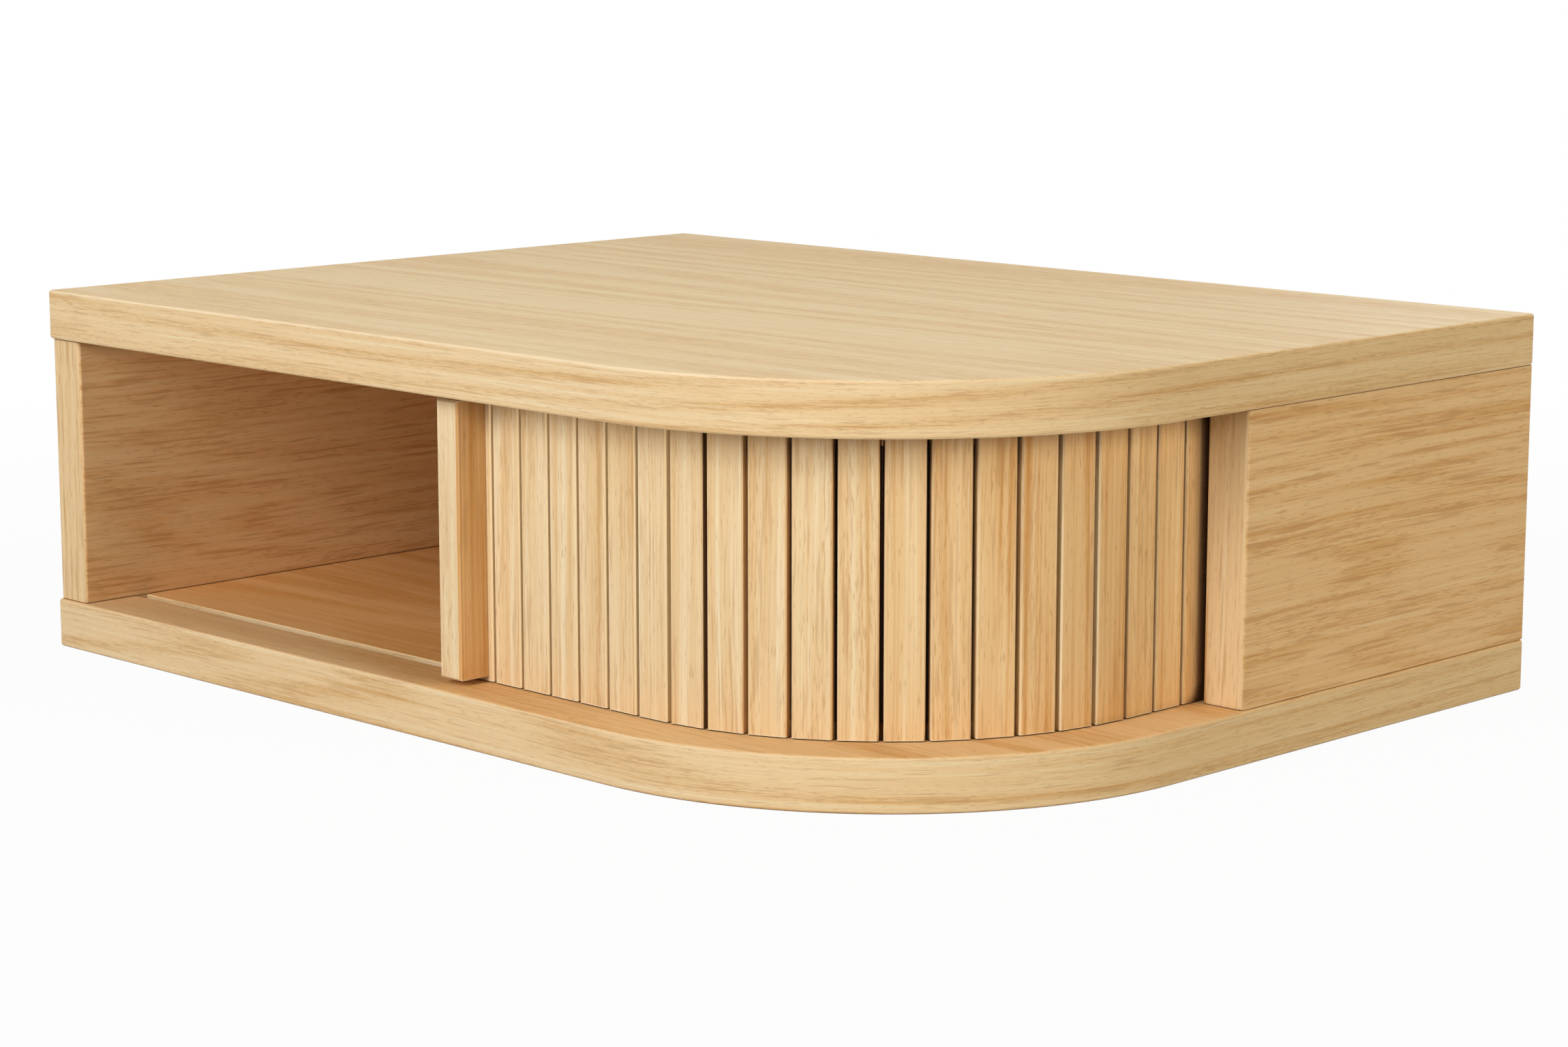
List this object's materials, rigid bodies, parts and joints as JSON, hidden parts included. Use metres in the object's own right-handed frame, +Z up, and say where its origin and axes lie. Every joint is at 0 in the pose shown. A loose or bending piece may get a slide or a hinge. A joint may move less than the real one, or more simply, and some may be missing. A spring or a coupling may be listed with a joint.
{
  "type": "bedside table with tambour door",
  "caption": "Low wall-hung bedside table with one rounded corner and a slatted tambour door that slides round it, upright bar pull.",
  "frame": {"origin": "centre of the footprint, on the underside of the bottom panel", "axes": "+X right along the front, +Y to the back (the wall), +Z up"},
  "size_m": [0.48, 0.36, 0.149],
  "materials": {
    "oak_board": "clear matt lacquer",
    "oak_back": "veneered, matt",
    "oak_liner": "bent ply, veneered",
    "oak_plug": "turned, matt",
    "oak_slat": "solid, matt lacquer",
    "oak_pull": "solid, matt lacquer",
    "beech_dowel": "raw, fluted",
    "canvas": "dark cotton duck",
    "zinc_screw": "zinc plated"
  },
  "bodies": {
    "cabinet": {"top_panel": "oak_board", "bottom_panel": "oak_board", "left_side_panel": "oak_board", "right_side_panel": "oak_board", "back_panel": "oak_back", "side_liner": "oak_liner", "corner_liner": "oak_liner", "back_liner": "oak_liner", "access_plugs": "oak_plug", "left_panel_dowels": "beech_dowel", "right_panel_dowels": "beech_dowel", "back_panel_screws": "zinc_screw", "tambour_canvas": "canvas"},
    "leading_slat_and_pull": {"leading_slat": "oak_slat", "door_pull": "oak_pull", "pull_screws": "zinc_screw"},
    "slat_02": {"slat_02": "oak_slat"},
    "slat_03": {"slat_03": "oak_slat"},
    "slat_04": {"slat_04": "oak_slat"},
    "slat_05": {"slat_05": "oak_slat"},
    "slat_06": {"slat_06": "oak_slat"},
    "slat_07": {"slat_07": "oak_slat"},
    "slat_08": {"slat_08": "oak_slat"},
    "slat_09": {"slat_09": "oak_slat"},
    "slat_10": {"slat_10": "oak_slat"},
    "slat_11": {"slat_11": "oak_slat"},
    "slat_12": {"slat_12": "oak_slat"},
    "slat_13": {"slat_13": "oak_slat"},
    "slat_14": {"slat_14": "oak_slat"},
    "slat_15": {"slat_15": "oak_slat"},
    "slat_16": {"slat_16": "oak_slat"},
    "slat_17": {"slat_17": "oak_slat"},
    "slat_18": {"slat_18": "oak_slat"},
    "slat_19": {"slat_19": "oak_slat"},
    "slat_20": {"slat_20": "oak_slat"},
    "slat_21": {"slat_21": "oak_slat"},
    "slat_22": {"slat_22": "oak_slat"},
    "slat_23": {"slat_23": "oak_slat"},
    "slat_24": {"slat_24": "oak_slat"},
    "slat_25": {"slat_25": "oak_slat"},
    "slat_26": {"slat_26": "oak_slat"},
    "slat_27": {"slat_27": "oak_slat"},
    "slat_28": {"slat_28": "oak_slat"},
    "slat_29": {"slat_29": "oak_slat"},
    "slat_30": {"slat_30": "oak_slat"},
    "slat_31": {"slat_31": "oak_slat"},
    "slat_32": {"slat_32": "oak_slat"},
    "slat_33": {"slat_33": "oak_slat"},
    "slat_34": {"slat_34": "oak_slat"},
    "slat_35": {"slat_35": "oak_slat"},
    "slat_36": {"slat_36": "oak_slat"}
  },
  "joints": [
    {"name": "door_slide", "type": "slide", "parent": "cabinet", "child": "leading_slat_and_pull", "axis": [1, 0, 0], "range_m": [-0.219, 0], "deforming": ["tambour_canvas"]},
    {"name": "slat_02_track", "type": "slide", "parent": "cabinet", "child": "slat_02", "axis": [1, 0, 0], "range_m": [-0.219, 0]},
    {"name": "slat_03_track", "type": "slide", "parent": "cabinet", "child": "slat_03", "axis": [1, 0, 0], "range_m": [-0.219, 0]},
    {"name": "slat_04_track", "type": "slide", "parent": "cabinet", "child": "slat_04", "axis": [1, 0, 0], "range_m": [-0.219, 0]},
    {"name": "slat_05_track", "type": "slide", "parent": "cabinet", "child": "slat_05", "axis": [1, 0, 0], "range_m": [-0.219, 0]},
    {"name": "slat_06_track", "type": "slide", "parent": "cabinet", "child": "slat_06", "axis": [1, 0, 0], "range_m": [-0.219, 0]},
    {"name": "slat_07_track", "type": "hinge", "parent": "cabinet", "child": "slat_07", "pos_m": [-0.01775, 9.85787, 0.0745], "axis": [0, 0, 1], "range_deg": [-1.25, 0], "deforming": ["slat_07"]},
    {"name": "slat_08_track", "type": "hinge", "parent": "cabinet", "child": "slat_08", "pos_m": [-0.0045, 1.35349, 0.0745], "axis": [0, 0, 1], "range_deg": [-8.31, 0], "deforming": ["slat_08"]},
    {"name": "slat_09_track", "type": "hinge", "parent": "cabinet", "child": "slat_09", "pos_m": [0.00419, 0.62147, 0.0745], "axis": [0, 0, 1], "range_deg": [-16.1, 0], "deforming": ["slat_09"]},
    {"name": "slat_10_track", "type": "hinge", "parent": "cabinet", "child": "slat_10", "pos_m": [0.0123, 0.36584, 0.0745], "axis": [0, 0, 1], "range_deg": [-23.89, 0], "deforming": ["slat_10"]},
    {"name": "slat_11_track", "type": "hinge", "parent": "cabinet", "child": "slat_11", "pos_m": [0.02026, 0.23548, 0.0745], "axis": [0, 0, 1], "range_deg": [-31.68, 0], "deforming": ["slat_11"]},
    {"name": "slat_12_track", "type": "hinge", "parent": "cabinet", "child": "slat_12", "pos_m": [0.02816, 0.15642, 0.0745], "axis": [0, 0, 1], "range_deg": [-39.47, 0], "deforming": ["slat_12"]},
    {"name": "slat_13_track", "type": "hinge", "parent": "cabinet", "child": "slat_13", "pos_m": [0.03602, 0.10348, 0.0745], "axis": [0, 0, 1], "range_deg": [-47.26, 0], "deforming": ["slat_13"]},
    {"name": "slat_14_track", "type": "hinge", "parent": "cabinet", "child": "slat_14", "pos_m": [0.04387, 0.06571, 0.0745], "axis": [0, 0, 1], "range_deg": [-55.05, 0], "deforming": ["slat_14"]},
    {"name": "slat_15_track", "type": "hinge", "parent": "cabinet", "child": "slat_15", "pos_m": [0.05171, 0.03761, 0.0745], "axis": [0, 0, 1], "range_deg": [-62.84, 0], "deforming": ["slat_15"]},
    {"name": "slat_16_track", "type": "hinge", "parent": "cabinet", "child": "slat_16", "pos_m": [0.05954, 0.0161, 0.0745], "axis": [0, 0, 1], "range_deg": [-70.63, 0], "deforming": ["slat_16"]},
    {"name": "slat_17_track", "type": "hinge", "parent": "cabinet", "child": "slat_17", "pos_m": [0.06736, -0.00066, 0.0745], "axis": [0, 0, 1], "range_deg": [-78.42, 0], "deforming": ["slat_17"]},
    {"name": "slat_18_track", "type": "hinge", "parent": "cabinet", "child": "slat_18", "pos_m": [0.07518, -0.01387, 0.0745], "axis": [0, 0, 1], "range_deg": [-86.21, 0], "deforming": ["slat_18"]},
    {"name": "slat_19_track", "type": "hinge", "parent": "cabinet", "child": "slat_19", "pos_m": [0.07912, -0.01912, 0.0745], "axis": [0, 0, 1], "range_deg": [-90, 0], "deforming": ["slat_19"]},
    {"name": "slat_20_track", "type": "hinge", "parent": "cabinet", "child": "slat_20", "pos_m": [0.07912, -0.01912, 0.0745], "axis": [0, 0, 1], "range_deg": [-90, 0], "deforming": ["slat_20"]},
    {"name": "slat_21_track", "type": "hinge", "parent": "cabinet", "child": "slat_21", "pos_m": [0.07772, -0.01795, 0.0745], "axis": [0, 0, 1], "range_deg": [-88.91, 0], "deforming": ["slat_21"]},
    {"name": "slat_22_track", "type": "hinge", "parent": "cabinet", "child": "slat_22", "pos_m": [0.0671, -0.01095, 0.0745], "axis": [0, 0, 1], "range_deg": [-81.99, 0], "deforming": ["slat_22"]},
    {"name": "slat_23_track", "type": "hinge", "parent": "cabinet", "child": "slat_23", "pos_m": [0.05209, -0.00312, 0.0745], "axis": [0, 0, 1], "range_deg": [-74.2, 0], "deforming": ["slat_23"]},
    {"name": "slat_24_track", "type": "hinge", "parent": "cabinet", "child": "slat_24", "pos_m": [0.03685, 0.0031, 0.0745], "axis": [0, 0, 1], "range_deg": [-67.88, 0], "deforming": ["slat_24"]},
    {"name": "slat_25_track", "type": "hinge", "parent": "cabinet", "child": "slat_25", "pos_m": [0.03526, 0.0036, 0.0745], "axis": [0, 0, 1], "range_deg": [-67.31, 0], "deforming": ["slat_25"]},
    {"name": "slat_26_track", "type": "hinge", "parent": "cabinet", "child": "slat_26", "pos_m": [0.03526, 0.0036, 0.0745], "axis": [0, 0, 1], "range_deg": [-67.31, 0], "deforming": ["slat_26"]},
    {"name": "slat_27_track", "type": "hinge", "parent": "cabinet", "child": "slat_27", "pos_m": [0.03526, 0.0036, 0.0745], "axis": [0, 0, 1], "range_deg": [-67.31, 0], "deforming": ["slat_27"]},
    {"name": "slat_28_track", "type": "hinge", "parent": "cabinet", "child": "slat_28", "pos_m": [0.03526, 0.0036, 0.0745], "axis": [0, 0, 1], "range_deg": [-67.31, 0], "deforming": ["slat_28"]},
    {"name": "slat_29_track", "type": "hinge", "parent": "cabinet", "child": "slat_29", "pos_m": [0.03526, 0.0036, 0.0745], "axis": [0, 0, 1], "range_deg": [-67.31, 0], "deforming": ["slat_29"]},
    {"name": "slat_30_track", "type": "hinge", "parent": "cabinet", "child": "slat_30", "pos_m": [0.03526, 0.0036, 0.0745], "axis": [0, 0, 1], "range_deg": [-67.31, 0], "deforming": ["slat_30"]},
    {"name": "slat_31_track", "type": "hinge", "parent": "cabinet", "child": "slat_31", "pos_m": [0.03526, 0.0036, 0.0745], "axis": [0, 0, 1], "range_deg": [-67.31, 0], "deforming": ["slat_31"]},
    {"name": "slat_32_track", "type": "hinge", "parent": "cabinet", "child": "slat_32", "pos_m": [0.03526, 0.0036, 0.0745], "axis": [0, 0, 1], "range_deg": [-67.31, 0], "deforming": ["slat_32"]},
    {"name": "slat_33_track", "type": "hinge", "parent": "cabinet", "child": "slat_33", "pos_m": [0.04481, 0.00712, 0.0745], "axis": [0, 0, 1], "range_deg": [-71.01, 0], "deforming": ["slat_33"]},
    {"name": "slat_34_track", "type": "hinge", "parent": "cabinet", "child": "slat_34", "pos_m": [0.06137, 0.01494, 0.0745], "axis": [0, 0, 1], "range_deg": [-78.79, 0], "deforming": ["slat_34"]},
    {"name": "slat_35_track", "type": "hinge", "parent": "cabinet", "child": "slat_35", "pos_m": [0.07441, 0.02275, 0.0745], "axis": [0, 0, 1], "range_deg": [-86.57, 0], "deforming": ["slat_35"]},
    {"name": "slat_36_track", "type": "hinge", "parent": "cabinet", "child": "slat_36", "pos_m": [0.07912, 0.02632, 0.0745], "axis": [0, 0, 1], "range_deg": [-90, 0], "deforming": ["slat_36"]}
  ],
  "couplings": [
    {"joint": "slat_02_track", "follows": "door_slide", "ratio": 1},
    {"joint": "slat_03_track", "follows": "door_slide", "ratio": 1},
    {"joint": "slat_04_track", "follows": "door_slide", "ratio": 1},
    {"joint": "slat_05_track", "follows": "door_slide", "ratio": 1},
    {"joint": "slat_06_track", "follows": "door_slide", "ratio": 1},
    {"joint": "slat_07_track", "follows": "door_slide", "rad_per_m": 0.099884},
    {"joint": "slat_08_track", "follows": "door_slide", "rad_per_m": 0.66255},
    {"joint": "slat_09_track", "follows": "door_slide", "rad_per_m": 1.2833},
    {"joint": "slat_10_track", "follows": "door_slide", "rad_per_m": 1.9041},
    {"joint": "slat_11_track", "follows": "door_slide", "rad_per_m": 2.5248},
    {"joint": "slat_12_track", "follows": "door_slide", "rad_per_m": 3.1456},
    {"joint": "slat_13_track", "follows": "door_slide", "rad_per_m": 3.7664},
    {"joint": "slat_14_track", "follows": "door_slide", "rad_per_m": 4.3871},
    {"joint": "slat_15_track", "follows": "door_slide", "rad_per_m": 5.0079},
    {"joint": "slat_16_track", "follows": "door_slide", "rad_per_m": 5.6287},
    {"joint": "slat_17_track", "follows": "door_slide", "rad_per_m": 6.2494},
    {"joint": "slat_18_track", "follows": "door_slide", "rad_per_m": 6.8702},
    {"joint": "slat_19_track", "follows": "door_slide", "rad_per_m": 7.1726},
    {"joint": "slat_20_track", "follows": "door_slide", "rad_per_m": 7.1726},
    {"joint": "slat_21_track", "follows": "door_slide", "rad_per_m": 7.0858},
    {"joint": "slat_22_track", "follows": "door_slide", "rad_per_m": 6.5339},
    {"joint": "slat_23_track", "follows": "door_slide", "rad_per_m": 5.9131},
    {"joint": "slat_24_track", "follows": "door_slide", "rad_per_m": 5.4099},
    {"joint": "slat_25_track", "follows": "door_slide", "rad_per_m": 5.3641},
    {"joint": "slat_26_track", "follows": "door_slide", "rad_per_m": 5.3641},
    {"joint": "slat_27_track", "follows": "door_slide", "rad_per_m": 5.3641},
    {"joint": "slat_28_track", "follows": "door_slide", "rad_per_m": 5.3641},
    {"joint": "slat_29_track", "follows": "door_slide", "rad_per_m": 5.3641},
    {"joint": "slat_30_track", "follows": "door_slide", "rad_per_m": 5.3641},
    {"joint": "slat_31_track", "follows": "door_slide", "rad_per_m": 5.3641},
    {"joint": "slat_32_track", "follows": "door_slide", "rad_per_m": 5.3641},
    {"joint": "slat_33_track", "follows": "door_slide", "rad_per_m": 5.6588},
    {"joint": "slat_34_track", "follows": "door_slide", "rad_per_m": 6.2793},
    {"joint": "slat_35_track", "follows": "door_slide", "rad_per_m": 6.8989},
    {"joint": "slat_36_track", "follows": "door_slide", "rad_per_m": 7.1726}
  ]
}
